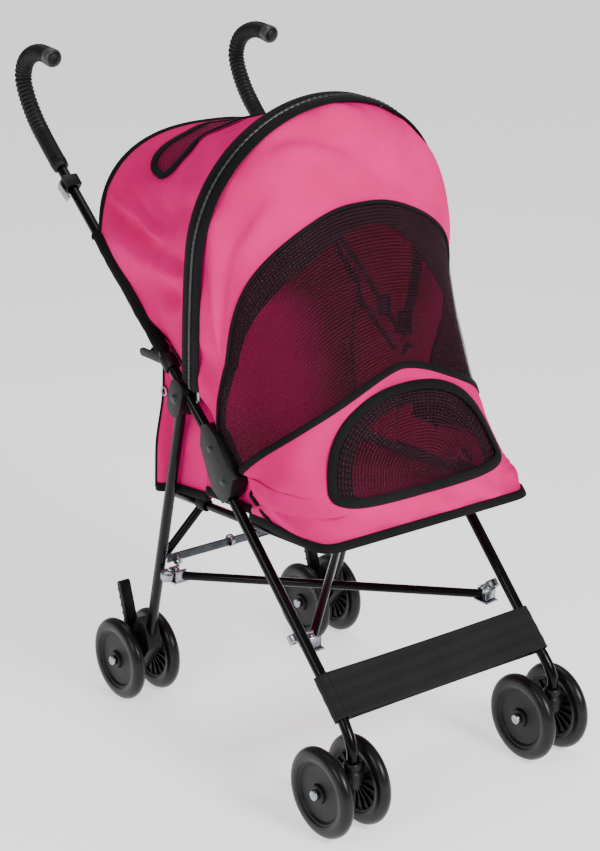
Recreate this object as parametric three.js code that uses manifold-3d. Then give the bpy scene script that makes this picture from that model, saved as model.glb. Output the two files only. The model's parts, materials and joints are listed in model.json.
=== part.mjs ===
// Folding pet stroller: two inclined side frames joined by crossed braces, a zipped fabric
// cabin slung between them, hooked foam grips, and four pairs of wheels (casters in front).
// Millimetres, +Z up, front towards -Y, the pusher's right towards -X.
// Lengths along Y are stated from the front axle and moved to the origin at the very end.
import * as THREE from 'three';
import { mergeVertices } from 'three/addons/utils/BufferGeometryUtils.js';
import Module from 'manifold-3d';

const wasm = await Module();
wasm.setup();

// ---------------------------------------------------------------- driving dimensions
const ORIGIN_Y = 353; // front axle to the middle of the object's length
const GAP = 0.3; // kept between touching pieces
const TUBE_R = 8; // frame tubes
const BRACE_R = 6.5; // crossed braces
const SIDE_X = 178.8; // side frame plane at brace height
const SIDE_LEAN = 0.0203; // the side frames lean outwards with height
const BRACE_Z = 228;

const WHEEL_R = 64; // 5 inch wheels
const TYRE_W = 20.3;
const PAIR_HALF = 31.3; // half spacing of the two wheels of a pair
const FRONT_TRACK = 181.4;
const REAR_TRACK = 176.2;
const REAR_AXLE_Y = 518.7;
const AXLE_R = 5;
const STEM_Y = -26; // caster stem, ahead of its axle

const HANDLE_FOOT = [229, 429.5]; // lower end of the handle tube, as [y, z]
const HANDLE_TOP = [663, 803.6]; // where the foam grip starts
const GRIP_ROUTE = [[663, 803.6], [697, 833], [728, 864], [749, 896], [756, 922], [746, 945],
  [725, 959], [697, 965], [663, 961]];
const LEG_TOP = [262, 425];
const LEG_ELBOW = [4, 167]; // where the front leg starts to turn upright
const LEG_FOOT_Z = 111.6;
const REAR_PIVOT = [360, 510]; // rear leg on its side joint
const REAR_LEG_FOOT = [484, 88];

const BRACE_X = 155; // brace ends, inboard of the legs
const BRACE_FRONT_Y = 98;
const BRACE_REAR_Y = 421;
const BRACE_DROP = 7; // the crossed braces pass this far above and below each other's middle
const REAR_BRACE_LOW = [BRACE_X, 468, 236];
const REAR_BRACE_HIGH = [169.5, 440, 566];
const REAR_BRACE_STEP = 15.2; // one rear brace passes this far behind the other
const COLLAR_LENGTH = 22;
const BRACKET_THICK = 2.5;
const LINK_X = 155;
const LINK_WIDTH = 15;
const LINK_THICK = 3;
const LINK_OFFSET = 9; // link's front face behind the rear leg's axis

const CABIN_X = 168; // half width over the fabric
const CABIN_WALL = 5;
const ARCH_Y = 325; // foot of the zip arch
const ARCH_FOOT_Z = 542; // above this the arch leans forward
const ARCH_HEAD_Y = 258;
const ARCH_TOP = 935;
const ARCH_SHOULDER = 738;
const CABIN_FRONT = 38;
const HEM_Z = 392;

const HOOK_AT = [636, 780.3]; // retaining hook on the right handle tube

// ---------------------------------------------------------------- materials
const paint = (color, roughness, metalness = 0) =>
  new THREE.MeshStandardMaterial({ color, roughness, metalness });
const MATERIAL = {
  tube: paint(0x0b0c10, 0.3, 0.4),
  plastic: paint(0x17181b, 0.5),
  foam: paint(0x1a1a1d, 0.8),
  zinc: paint(0xb9bec6, 0.3, 0.9),
  steel: paint(0x4c5a66, 0.4, 0.8),
  tyre: paint(0x202226, 0.45),
  hub: paint(0x0e0f11, 0.5),
  pink: paint(0xe0508a, 0.9),
  black_fabric: paint(0x18181a, 0.9),
};

// ---------------------------------------------------------------- helpers
const model = new THREE.Group();
const V = (x, y, z) => new THREE.Vector3(x, y, z);

function addPiece(name, geometry, material) {
  const mesh = new THREE.Mesh(geometry, MATERIAL[material]);
  mesh.name = name;
  model.add(mesh);
  return mesh;
}

/** Closed geometry to a manifold solid. */
function solid(geometry) {
  const bare = geometry.clone();
  bare.deleteAttribute('normal');
  bare.deleteAttribute('uv');
  const merged = mergeVertices(bare, 1e-4);
  const count = merged.attributes.position.count;
  const triVerts = merged.index
    ? new Uint32Array(merged.index.array)
    : Uint32Array.from({ length: count }, (_, i) => i);
  return new wasm.Manifold(new wasm.Mesh({
    numProp: 3, vertProperties: new Float32Array(merged.attributes.position.array), triVerts,
  }));
}

/** Manifold solid back to a geometry. */
function shape(manifold) {
  const mesh = manifold.getMesh();
  const geometry = new THREE.BufferGeometry();
  geometry.setAttribute('position', new THREE.BufferAttribute(mesh.vertProperties.slice(), 3));
  geometry.setIndex(new THREE.BufferAttribute(mesh.triVerts.slice(), 1));
  geometry.computeVertexNormals();
  return geometry;
}

const join = (...parts) => shape(parts.map(solid).reduce((a, b) => a.add(b)));
const cut = (base, ...tools) => shape(tools.map(solid).reduce((a, b) => a.subtract(b), solid(base)));
const common = (...parts) => shape(parts.map(solid).reduce((a, b) => a.intersect(b)));

/** Round bar between two points. */
function bar(from, to, radius, sides = 12) {
  const along = to.clone().sub(from);
  const geometry = new THREE.CylinderGeometry(radius, radius, along.length(), sides);
  const turn = new THREE.Quaternion().setFromUnitVectors(V(0, 1, 0), along.clone().normalize());
  geometry.applyQuaternion(turn);
  const middle = from.clone().add(to).multiplyScalar(0.5);
  return geometry.translate(middle.x, middle.y, middle.z);
}

/** Round tube along a curve. */
function tubeAlong(curve, radius, steps, sides = 12) {
  const section = new THREE.Shape();
  section.absarc(0, 0, radius, 0, Math.PI * 2);
  return new THREE.ExtrudeGeometry(section, {
    steps, curveSegments: sides / 2, extrudePath: curve, bevelEnabled: false,
  });
}

/** Outline in the Y-Z plane, as [y, z] pairs or a Shape, extruded from x0 to x1. */
function plateYZ(outline, x0, x1, curveSegments = 6) {
  const flat = Array.isArray(outline)
    ? new THREE.Shape(outline.map(([y, z]) => new THREE.Vector2(y, z)))
    : outline;
  const geometry = new THREE.ExtrudeGeometry(flat, {
    depth: x1 - x0, bevelEnabled: false, curveSegments,
  });
  geometry.applyMatrix4(new THREE.Matrix4().makeBasis(V(0, 1, 0), V(0, 0, 1), V(1, 0, 0)));
  return geometry.translate(x0, 0, 0);
}

/** Rounded bar outline around the line from a to b, both [y, z]. */
function capsule(a, b, radius) {
  const angle = Math.atan2(b[1] - a[1], b[0] - a[0]);
  const outline = new THREE.Shape();
  outline.absarc(b[0], b[1], radius, angle - Math.PI / 2, angle + Math.PI / 2, false);
  outline.absarc(a[0], a[1], radius, angle + Math.PI / 2, angle + Math.PI * 1.5, false);
  return outline;
}

/** Box given by its centre and size, turned about X by an angle. */
function block(center, size, turnX = 0) {
  const geometry = new THREE.BoxGeometry(...size);
  geometry.rotateX(turnX);
  return geometry.translate(...center);
}

const sideX = (z) => SIDE_X + (z - 210) * SIDE_LEAN;
/** Point of a side frame's plane: s is -1 on the right and 1 on the left. */
const onSide = (s, [y, z]) => V(s * sideX(z), y, z);
const mix = (a, b, t) => a.map((value, i) => value + (b[i] - value) * t);

const SIDES = [['right', -1], ['left', 1]];

// ---------------------------------------------------------------- side frames
const handleAngle = Math.atan2(HANDLE_TOP[1] - HANDLE_FOOT[1], HANDLE_TOP[0] - HANDLE_FOOT[0]);
const handleAt = (z) => [
  HANDLE_FOOT[0] + (z - HANDLE_FOOT[1]) / Math.tan(handleAngle), z,
];
const legAngle = Math.atan2(REAR_PIVOT[1] - REAR_LEG_FOOT[1], REAR_LEG_FOOT[0] - REAR_PIVOT[0]);

function frontLegCurve(s) {
  const route = new THREE.CurvePath();
  const elbow = onSide(s, LEG_ELBOW);
  const corner = V(s * FRONT_TRACK, STEM_Y, LEG_ELBOW[1] + STEM_Y - LEG_ELBOW[0]);
  const down = V(s * FRONT_TRACK, STEM_Y, LEG_FOOT_Z + 12);
  route.add(new THREE.LineCurve3(onSide(s, LEG_TOP), elbow));
  route.add(new THREE.QuadraticBezierCurve3(elbow, corner, down));
  route.add(new THREE.LineCurve3(down, V(s * FRONT_TRACK, STEM_Y, LEG_FOOT_Z)));
  return route;
}

function addSideFrame(name, s) {
  addPiece(`handle_tube_${name}`,
    bar(onSide(s, HANDLE_FOOT), onSide(s, mix(HANDLE_TOP, HANDLE_FOOT, 0.0008)), TUBE_R), 'tube');

  const gripPoints = GRIP_ROUTE.map((p) => onSide(s, p));
  const grip = tubeAlong(new THREE.CatmullRomCurve3(gripPoints), 13, 14, 12);
  addPiece(`grip_${name}`, grip, 'foam');

  // Front leg with the caster's steel stem pressed into its foot.
  const leg = tubeAlong(frontLegCurve(s), TUBE_R, 26, 12);
  const stem = bar(V(s * FRONT_TRACK, STEM_Y, LEG_FOOT_Z + 6), V(s * FRONT_TRACK, STEM_Y, 86), 4.7);
  addPiece(`front_leg_${name}`, join(leg, stem), 'tube');

  // Joint housing: grips the handle tube and carries the rear leg's pivot pin.
  const x = s * sideX(REAR_PIVOT[1]);
  const over = handleAt(REAR_PIVOT[1] + 26);
  const housing = plateYZ(capsule(REAR_PIVOT, over, 16), x - 15, x + 15);
  const tubeRoom = bar(onSide(s, HANDLE_FOOT), onSide(s, HANDLE_TOP), TUBE_R + GAP);
  const legRoom = plateYZ(capsule(REAR_PIVOT, [REAR_PIVOT[0] + 60, REAR_PIVOT[1] - 28], 13),
    x - 9.2, x + 9.2);
  const legRoomDown = plateYZ(capsule(REAR_PIVOT, [REAR_PIVOT[0], REAR_PIVOT[1] - 60], 13),
    x - 9.2, x + 9.2);
  const pin = bar(V(x - 14, ...REAR_PIVOT), V(x + 14, ...REAR_PIVOT), 3);
  const joint = solid(housing).subtract(solid(tubeRoom)).subtract(solid(legRoom))
    .subtract(solid(legRoomDown)).add(solid(pin));
  addPiece(`side_joint_${name}`, shape(joint), 'plastic');

  // Lock housing where the handle tube meets the front leg.
  const lockOutline = [[221, 440], [228, 415], [247, 398], [272, 412], [300, 470], [296, 499],
    [283, 505], [262, 492]];
  const lockX = s * sideX(450);
  const lock = cut(plateYZ(lockOutline, lockX - 13, lockX + 13), tubeRoom,
    bar(onSide(s, mix(LEG_TOP, LEG_ELBOW, -0.004)), onSide(s, LEG_ELBOW), TUBE_R + GAP));
  addPiece(`lock_housing_${name}`, lock, 'plastic');
}

function addRearLeg(name, s) {
  const top = onSide(s, REAR_PIVOT);
  const foot = V(s * REAR_TRACK, ...REAR_LEG_FOOT);
  const tube = bar(top, foot, TUBE_R);
  const eye = bar(V(top.x - 8.5, top.y, top.z), V(top.x + 8.5, top.y, top.z), 10);
  const hole = bar(V(top.x - 20, top.y, top.z), V(top.x + 20, top.y, top.z), 3 + GAP);
  addPiece(`rear_leg_${name}`, shape(solid(tube).add(solid(eye)).subtract(solid(hole))), 'tube');

  // Axle housing under the leg.
  const x = s * REAR_TRACK;
  const outline = new THREE.Shape();
  outline.moveTo(474, 128);
  outline.lineTo(465, 92);
  outline.lineTo(498, 50);
  outline.absarc(REAR_AXLE_Y, WHEEL_R, 14, Math.PI * 1.2, Math.PI * 2.25, false);
  outline.lineTo(497, 134);
  const housing = cut(plateYZ(outline, x - 12, x + 12),
    bar(top, V(foot.x, foot.y, foot.z), TUBE_R + GAP),
    block([x, REAR_LEG_FOOT[0] + 0.5, REAR_LEG_FOOT[1]], [15, 10, 10]),
    bar(V(x - 20, REAR_AXLE_Y, WHEEL_R), V(x + 20, REAR_AXLE_Y, WHEEL_R), AXLE_R + GAP));
  addPiece(`rear_axle_housing_${name}`, housing, 'plastic');

  // Brake lever behind the axle housing, with finger ribs.
  const leverLow = [527, 92];
  const leverHigh = [551, 170];
  const lever = plateYZ(capsule(leverLow, leverHigh, 5), x - 9, x + 9);
  const ribs = [0.3, 0.45, 0.6, 0.75, 0.9].map((t) => {
    const [y, z] = mix(leverLow, leverHigh, t);
    return bar(V(x - 9, y + 4.5, z - 1.5), V(x + 9, y + 4.5, z - 1.5), 2.5, 8);
  });
  addPiece(`brake_lever_${name}`, join(lever, ...ribs), 'plastic');
}

// ---------------------------------------------------------------- wheels
/** Profile [radius, x] turned about the X axis, centred on the given point. */
function turned(profile, center, segments) {
  const points = profile.map(([r, h]) => new THREE.Vector2(r, h));
  const geometry = new THREE.LatheGeometry(points, segments);
  geometry.rotateZ(-Math.PI / 2);
  return geometry.translate(center.x, center.y, center.z);
}

const TYRE_PROFILE = [[46, -8], [54, -TYRE_W / 2], [61, -7.2], [WHEEL_R, -2.6], [WHEEL_R, 2.6],
  [61, 7.2], [54, TYRE_W / 2], [46, 8], [46, -8]];
const HUB_PROFILE = [[AXLE_R + GAP, -9], [13, -9], [14, -5], [45.2, -7], [45.2, 7], [14, 5],
  [13, 9], [AXLE_R + GAP, 9], [AXLE_R + GAP, -9]];

function addWheelPair(name, center) {
  const half = PAIR_HALF + 9 + 2;
  const bolt = [[0, -half - 5], [7, -half - 5], [8, -half], [AXLE_R, -half], [AXLE_R, half],
    [8, half], [7, half + 5], [0, half + 5]];
  addPiece(`axle_${name}`, turned(bolt, center, 12), 'zinc');
  for (const [place, side] of [['a', -1], ['b', 1]]) {
    const middle = center.clone().add(V(side * PAIR_HALF, 0, 0));
    addPiece(`tyre_${name}_${place}`, turned(TYRE_PROFILE, middle, 24), 'tyre');
    addPiece(`hub_${name}_${place}`, turned(HUB_PROFILE, middle, 16), 'hub');
  }
}

function addCaster(name, s) {
  const x = s * FRONT_TRACK;
  const collar = new THREE.LatheGeometry([[0, 78], [13, 78], [13, 96], [11, 98], [11, 101],
    [13, 103], [13, 108], [11, 111], [0, 111]].map(([r, z]) => new THREE.Vector2(r, z)), 16);
  collar.rotateX(Math.PI / 2);
  collar.translate(x, STEM_Y, 0);
  const arm = plateYZ(capsule([0, WHEEL_R], [STEM_Y + 3, 88], 12), x - 11, x + 11);
  const stemHole = bar(V(x, STEM_Y, 120), V(x, STEM_Y, 84), 4.7 + GAP);
  const axleHole = bar(V(x - 20, 0, WHEEL_R), V(x + 20, 0, WHEEL_R), AXLE_R + GAP);
  const fork = solid(collar).add(solid(arm)).subtract(solid(stemHole)).subtract(solid(axleHole));
  addPiece(`caster_fork_${name}`, shape(fork), 'plastic');
}

// ---------------------------------------------------------------- braces and fold lock
/** Zinc plates on the legs' inner faces, reaching inboard under the braces' ends. */
function addBrackets() {
  for (const [name, s] of SIDES) {
    const inner = s * (BRACE_X - 9);
    const outer = s * (sideX(BRACE_Z) - TUBE_R - 1);
    const low = Math.min(inner, outer);
    const width = Math.abs(outer - inner);
    const under = BRACE_Z - BRACE_R - BRACKET_THICK / 2 - 0.5;
    // In front the plate lies under this side's brace, and at the rear under the other side's.
    addPiece(`front_bracket_${name}`, block(
      [low + width / 2, BRACE_FRONT_Y - 4, under - s * BRACE_DROP], [width, 26, BRACKET_THICK]), 'zinc');
    addPiece(`rear_bracket_${name}`, block(
      [low + width / 2, BRACE_REAR_Y + 4, under + s * BRACE_DROP], [width, 20, BRACKET_THICK]), 'zinc');
  }
}

function addLowerBraces() {
  for (const [name, s] of SIDES) {
    // Each brace is named for the side of its front end.
    const z = BRACE_Z - s * BRACE_DROP;
    const front = V(s * BRACE_X, BRACE_FRONT_Y, z);
    const rear = V(-s * BRACE_X, BRACE_REAR_Y, z);
    addPiece(`lower_brace_${name}`, bar(front, rear, BRACE_R), 'tube');
  }
}

function addRearBraces() {
  for (const [name, s] of SIDES) {
    // Each brace is named for the side of its lower end.
    const back = s > 0 ? REAR_BRACE_STEP : 0;
    const [lx, ly, lz] = REAR_BRACE_LOW;
    const [hx, hy, hz] = REAR_BRACE_HIGH;
    addPiece(`rear_brace_${name}`,
      bar(V(s * lx, ly + back, lz), V(-s * hx, hy + back, hz), BRACE_R), 'tube');
    // Sliding collar on the opposite handle tube, at this brace's upper end.
    const other = name === 'right' ? 'left' : 'right';
    const center = handleAt(hz);
    const half = [Math.cos(handleAngle) * COLLAR_LENGTH / 2, Math.sin(handleAngle) * COLLAR_LENGTH / 2];
    const a = onSide(-s, [center[0] - half[0], center[1] - half[1]]);
    const b = onSide(-s, [center[0] + half[0], center[1] + half[1]]);
    const x = -s * (sideX(hz) + 1);
    const lug = plateYZ(capsule(center, [hy + back, hz], 6), x - 2.5, x + 2.5, 3);
    const room = bar(onSide(-s, HANDLE_FOOT), onSide(-s, HANDLE_TOP), TUBE_R + GAP, 12);
    const sleeve = solid(bar(a, b, 12, 12)).add(solid(lug)).subtract(solid(room));
    addPiece(`slide_collar_${other}`, shape(sleeve), 'plastic');
  }
}

function addFoldLock() {
  // Two flat links across the rear legs, one just behind the other, and a foot pedal.
  const normal = [Math.sin(legAngle), Math.cos(legAngle)];
  const onLeg = (z) => [REAR_PIVOT[0] + (REAR_PIVOT[1] - z) / Math.tan(legAngle), z];
  const at = onLeg(BRACE_Z + 8);
  SIDES.forEach(([name, s], layer) => {
    const off = LINK_OFFSET + (LINK_THICK + 0.5) * layer + LINK_THICK / 2;
    const center = [at[0] + normal[0] * off, at[1] + normal[1] * off];
    const reach = LINK_X + 8;
    const link = block([s * (LINK_X / 2), center[0], center[1]],
      [reach, LINK_THICK, LINK_WIDTH], Math.PI / 2 - legAngle);
    addPiece(`lock_link_${name}`, link, 'steel');
  });
  const off = LINK_OFFSET + 2 * LINK_THICK + 1.2 + 7;
  const pedal = block([26, at[0] + normal[0] * off, at[1] + normal[1] * off],
    [30, 13, 30], Math.PI / 2 - legAngle);
  addPiece('lock_pedal', pedal, 'plastic');
}

// ---------------------------------------------------------------- cabin
/** Arch outline in the X-Z plane, extruded along Y between y0 and y1. */
function archSolid(halfWidth, top, shoulder, bottom, y0, y1) {
  const outline = new THREE.Shape();
  outline.moveTo(halfWidth, bottom);
  outline.lineTo(halfWidth, shoulder);
  outline.absellipse(0, shoulder, halfWidth, top - shoulder, 0, Math.PI, false, 0);
  outline.lineTo(-halfWidth, bottom);
  const geometry = new THREE.ExtrudeGeometry(outline, {
    depth: y1 - y0, bevelEnabled: false, curveSegments: 14,
  });
  geometry.applyMatrix4(new THREE.Matrix4().makeBasis(V(1, 0, 0), V(0, 0, 1), V(0, -1, 0)));
  return geometry.translate(0, y1, 0);
}

const REAR_PROFILE = [[ARCH_Y, 379], [436, 359], [422, 590], [556, 752], [572, 800], [560, 850],
  [520, 868], [400, 906], [ARCH_HEAD_Y, ARCH_TOP], [ARCH_Y, ARCH_FOOT_Z]];
const REAR_PROFILE_IN = [[ARCH_Y - 20, 388.2], [431, 365.4], [417, 591], [551, 754], [567, 800],
  [556, 845], [519, 863], [399, 901], [ARCH_HEAD_Y - 20, ARCH_TOP - 3], [ARCH_Y - 20, ARCH_FOOT_Z]];
const FRONT_PROFILE = [[ARCH_Y - 1, HEM_Z + 1], [CABIN_FRONT, HEM_Z + 1], [46, 432], [71, 510],
  [100, 600], [140, 700], [184, 804], [226, 900], [ARCH_HEAD_Y - 1, ARCH_TOP],
  [ARCH_Y - 1, ARCH_FOOT_Z]];
const FRONT_PROFILE_IN = [[ARCH_Y + 20, HEM_Z - 20], [44, HEM_Z - 20], [44, HEM_Z + 2], [51, 432],
  [76, 510], [105, 600], [145, 700], [189, 802], [231, 895], [ARCH_HEAD_Y + 3, ARCH_TOP - 6],
  [ARCH_HEAD_Y + 22, ARCH_TOP - 8], [ARCH_Y + 20, ARCH_FOOT_Z]];

function addCabin() {
  const inner = CABIN_X - CABIN_WALL;
  const wide = (profile, half) => plateYZ(profile, -half, half);
  const outside = common(wide(REAR_PROFILE, 200),
    archSolid(CABIN_X, ARCH_TOP, ARCH_SHOULDER, 200, 0, 700));
  const inside = common(wide(REAR_PROFILE_IN, 200),
    archSolid(inner, ARCH_TOP - 5, ARCH_SHOULDER, 200, 0, 700));
  const floor = plateYZ([[CABIN_FRONT, HEM_Z - 7], [ARCH_Y + 1, 379], [ARCH_Y + 1, 385],
    [CABIN_FRONT, HEM_Z - 1]],
    -CABIN_X, CABIN_X);
  const shell = solid(outside).subtract(solid(inside)).add(solid(floor));
  addPiece('cabin_shell', shape(shell), 'pink');

  const canopyOut = common(wide(FRONT_PROFILE, 200),
    archSolid(CABIN_X, ARCH_TOP, ARCH_SHOULDER, 200, 0, 700));
  const canopyIn = common(wide(FRONT_PROFILE_IN, 200),
    archSolid(inner, ARCH_TOP - 5, ARCH_SHOULDER, 200, 0, 700));
  addPiece('front_canopy', shape(solid(canopyOut).subtract(solid(canopyIn))), 'pink');

  // Seat rails in the cabin's bottom edge, one on each side.
  for (const [name, s] of SIDES) {
    addPiece(`seat_rail_${name}`, bar(V(s * 160, 110, 375), V(s * 160, 418, 353), 6), 'tube');
  }
}

// ---------------------------------------------------------------- small parts
function addFootrest() {
  const center = [22 - 10.4 * Math.SQRT1_2, 185 + 10.4 * Math.SQRT1_2];
  addPiece('footrest', block([0, ...center], [2 * FRONT_TRACK + 10, 66, 3], Math.PI / 4), 'black_fabric');
}

function addRetainingHook() {
  const at = HOOK_AT;
  const x = -sideX(at[1]);
  addPiece('hook_clip', cut(
    block([x, ...at], [24, 20, 22], handleAngle),
    bar(onSide(-1, HANDLE_FOOT), onSide(-1, HANDLE_TOP), TUBE_R + GAP)), 'plastic');
  const hook = plateYZ([[at[0] - 14, at[1] - 22], [at[0] + 10, at[1] - 6], [at[0] + 6, at[1] + 4],
    [at[0] - 22, at[1] - 14]], x - 16, x - 12.6);
  addPiece('retaining_hook', hook, 'zinc');
}

for (const [name, s] of SIDES) {
  addSideFrame(name, s);
  addRearLeg(name, s);
  addCaster(name, s);
  addWheelPair(`front_${name}`, V(s * FRONT_TRACK, 0, WHEEL_R));
  addWheelPair(`rear_${name}`, V(s * REAR_TRACK, REAR_AXLE_Y, WHEEL_R));
}
addBrackets();
addLowerBraces();
addRearBraces();
addFoldLock();
addCabin();
addFootrest();
addRetainingHook();

model.position.y = -ORIGIN_Y;
export default model;
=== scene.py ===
"""A pet stroller: a folding tube frame on eight small wheels that carries a zipped fabric cabin.

Metres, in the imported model's frame: +X to the stroller's left, +Y to the handles, +Z up.
"""
import json
import math

import bpy
import numpy as np
from mathutils import Matrix, Vector, noise


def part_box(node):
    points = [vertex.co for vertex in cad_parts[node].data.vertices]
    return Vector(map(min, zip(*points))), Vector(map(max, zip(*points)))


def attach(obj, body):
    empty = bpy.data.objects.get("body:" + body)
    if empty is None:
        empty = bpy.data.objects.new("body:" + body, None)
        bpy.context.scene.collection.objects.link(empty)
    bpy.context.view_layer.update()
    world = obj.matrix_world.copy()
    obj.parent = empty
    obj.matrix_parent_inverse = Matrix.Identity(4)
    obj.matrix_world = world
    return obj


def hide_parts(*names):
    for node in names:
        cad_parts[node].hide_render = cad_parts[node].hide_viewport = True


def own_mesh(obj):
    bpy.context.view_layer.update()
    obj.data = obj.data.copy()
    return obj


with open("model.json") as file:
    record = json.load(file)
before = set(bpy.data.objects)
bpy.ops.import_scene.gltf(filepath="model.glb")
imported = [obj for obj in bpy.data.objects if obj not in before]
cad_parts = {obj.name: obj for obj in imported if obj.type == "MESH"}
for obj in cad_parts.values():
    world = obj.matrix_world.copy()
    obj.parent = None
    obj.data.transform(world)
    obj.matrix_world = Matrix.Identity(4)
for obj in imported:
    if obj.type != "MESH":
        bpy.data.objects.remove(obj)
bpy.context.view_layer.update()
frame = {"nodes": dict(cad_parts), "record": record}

# ---- places taken from the frame
CANOPY_LOW, CANOPY_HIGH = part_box("front_canopy")
HEM_Z = CANOPY_LOW.z - 0.001
FRONT_Y = CANOPY_LOW.y - 0.004
ARCH_Y = CANOPY_HIGH.y + 0.001
ARCH_TOP = CANOPY_HIGH.z
ARCH_BEND_Z = 0.542  # the zip arch is upright below this and leans forward above it
ARCH_LEAN = 0.17
HOOD_FOOT = 0.53  # height of the zip's lower ends
SHOULDER_Z = 0.740
SHOULDER_X = 0.202
HEM_X = 0.183
TUCKED_X = 0.168  # half width where the cabin passes between the side tubes
REAR_Y = 0.202  # plane of the rear arch
REAR_TOP = 0.862
REAR_X = 0.188
TUBE_SLOPE = 0.862  # rise of the handle tubes for each metre back
TUBE_FOOT = (-0.124, 0.4295)  # their lower end, as y, z
SIDE_X = 0.1788  # side frame plane at brace height, and its outward lean
SIDE_LEAN = 0.0203
COLLAR_Y = 0.050  # the sleeve on the handle tube starts above the sliding collar
REAR_FOOT_Z = TUBE_FOOT[1] + TUBE_SLOPE * (REAR_Y - TUBE_FOOT[0]) + 0.008

SIDES = (("right", -1), ("left", 1))
SIDE_BODY = {-1: "main_frame", 1: "left_frame"}  # what each side's tubes belong to
BOTH_TUBES = ["handle_tube_right", "handle_tube_left"]
NET = 0.0007  # thickness of the net
WELD = 0.00002


# ---- camera, light and floor
def add_camera():
    data = bpy.data.cameras.new("camera")
    data.lens = 85.2
    data.sensor_width = 36
    camera = bpy.data.objects.new("camera", data)
    bpy.context.scene.collection.objects.link(camera)
    bpy.context.scene.camera = camera
    azimuth, elevation, roll = math.radians(36.54), math.radians(18.89), math.radians(-0.4)
    ahead = Vector((math.sin(azimuth) * math.cos(elevation),
                    math.cos(azimuth) * math.cos(elevation), -math.sin(elevation)))
    turn = ahead.to_track_quat("-Z", "Y").to_matrix() @ Matrix.Rotation(roll, 3, "Z")
    camera.matrix_world = Matrix.Translation((-1.6551, -2.2556, 1.3995)) @ turn.to_4x4()


def add_light(name, place, target, size, power):
    data = bpy.data.lights.new(name, "AREA")
    data.shape = "DISK"
    data.size = size
    data.energy = power
    light = bpy.data.objects.new(name, data)
    bpy.context.scene.collection.objects.link(light)
    light.location = place
    light.rotation_euler = (Vector(target) - Vector(place)).to_track_quat("-Z", "Y").to_euler()


def add_studio():
    world = bpy.data.worlds.new("studio")
    bpy.context.scene.world = world
    world.use_nodes = True
    sky = world.node_tree.nodes["Background"].inputs
    sky["Color"].default_value = (1, 1, 1, 1)
    sky["Strength"].default_value = 0.34
    add_light("key", (0.3, -3.0, 2.1), (0, 0, 0.5), 1.0, 104)
    add_light("side", (-2.6, -1.0, 1.9), (0, 0, 0.5), 1.2, 26)
    add_light("top", (0.3, 0.8, 3.0), (0, 0, 0.4), 1.6, 20)
    bpy.ops.mesh.primitive_plane_add(size=90)
    floor = bpy.context.object
    floor.name = "floor"
    mat, shader = new_material("pale_floor", (0.86, 0.86, 0.87), 0.6)
    mottle(mat, shader, (0.93, 0.93, 0.935), (0.95, 0.95, 0.955), 3)
    shader.inputs["Emission Color"].default_value = (1, 1, 1, 1)
    shader.inputs["Emission Strength"].default_value = 0.95
    floor.data.materials.append(mat)


# ---- materials
def new_material(name, colour, roughness, metallic=0.0, **sockets):
    mat = bpy.data.materials.new(name)
    mat.use_nodes = True
    shader = mat.node_tree.nodes["Principled BSDF"]
    shader.inputs["Base Color"].default_value = (*colour, 1)
    shader.inputs["Roughness"].default_value = roughness
    shader.inputs["Metallic"].default_value = metallic
    for socket, value in sockets.items():
        shader.inputs[socket.replace("_", " ")].default_value = value
    return mat, shader


def node(mat, kind, **inputs):
    made = mat.node_tree.nodes.new(kind)
    for key, value in inputs.items():
        made.inputs[key.replace("_", " ")].default_value = value
    return made


def link(mat, output, socket):
    mat.node_tree.links.new(output, socket)


def noise_on(mat, scale, detail):
    """A noise fixed to the piece."""
    made = node(mat, "ShaderNodeTexNoise", Scale=scale, Detail=detail)
    link(mat, node(mat, "ShaderNodeTexCoord").outputs["Object"], made.inputs["Vector"])
    return made.outputs["Fac"]


def mottle(mat, shader, low, high, scale):
    """Varies a colour softly over the surface between two tones."""
    ramp = node(mat, "ShaderNodeValToRGB")
    for stop, place, colour in zip(ramp.color_ramp.elements, (0.32, 0.68), (low, high)):
        stop.position = place
        stop.color = (*colour, 1)
    link(mat, noise_on(mat, scale, 4.0), ramp.inputs["Fac"])
    link(mat, ramp.outputs["Color"], shader.inputs["Base Color"])
    return ramp


def uneven_roughness(mat, shader, low, high, scale):
    spread = node(mat, "ShaderNodeMapRange", To_Min=low, To_Max=high)
    link(mat, noise_on(mat, scale, 6.0), spread.inputs["Value"])
    link(mat, spread.outputs["Result"], shader.inputs["Roughness"])


def add_bump(mat, shader, height, strength, distance):
    bump = node(mat, "ShaderNodeBump", Strength=strength, Distance=distance)
    link(mat, height, bump.inputs["Height"])
    link(mat, bump.outputs["Normal"], shader.inputs["Normal"])


def grain(mat, shader, scale, strength, distance=0.0003):
    """Fine moulded or powder-coat grain."""
    add_bump(mat, shader, noise_on(mat, scale, 3.0), strength, distance)


def stripes(mat, direction, pitch, distortion):
    """Threads lying side by side. UVs are in metres of cloth."""
    wave = node(mat, "ShaderNodeTexWave", Scale=math.pi / 10 / pitch, Distortion=distortion)
    wave.bands_direction = direction
    link(mat, node(mat, "ShaderNodeTexCoord").outputs["UV"], wave.inputs["Vector"])
    return wave.outputs["Fac"]


def product(mat, first):
    """A node that multiplies first by its second input."""
    made = node(mat, "ShaderNodeMath")
    made.operation = "MULTIPLY"
    link(mat, first, made.inputs[0])
    return made


def woven(mat, pitch_u, pitch_v):
    """A plain weave: threads one way over threads the other way."""
    over = product(mat, stripes(mat, "X", pitch_u, 0.6))
    link(mat, stripes(mat, "Y", pitch_v, 0.6), over.inputs[1])
    return over.outputs[0]


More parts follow.
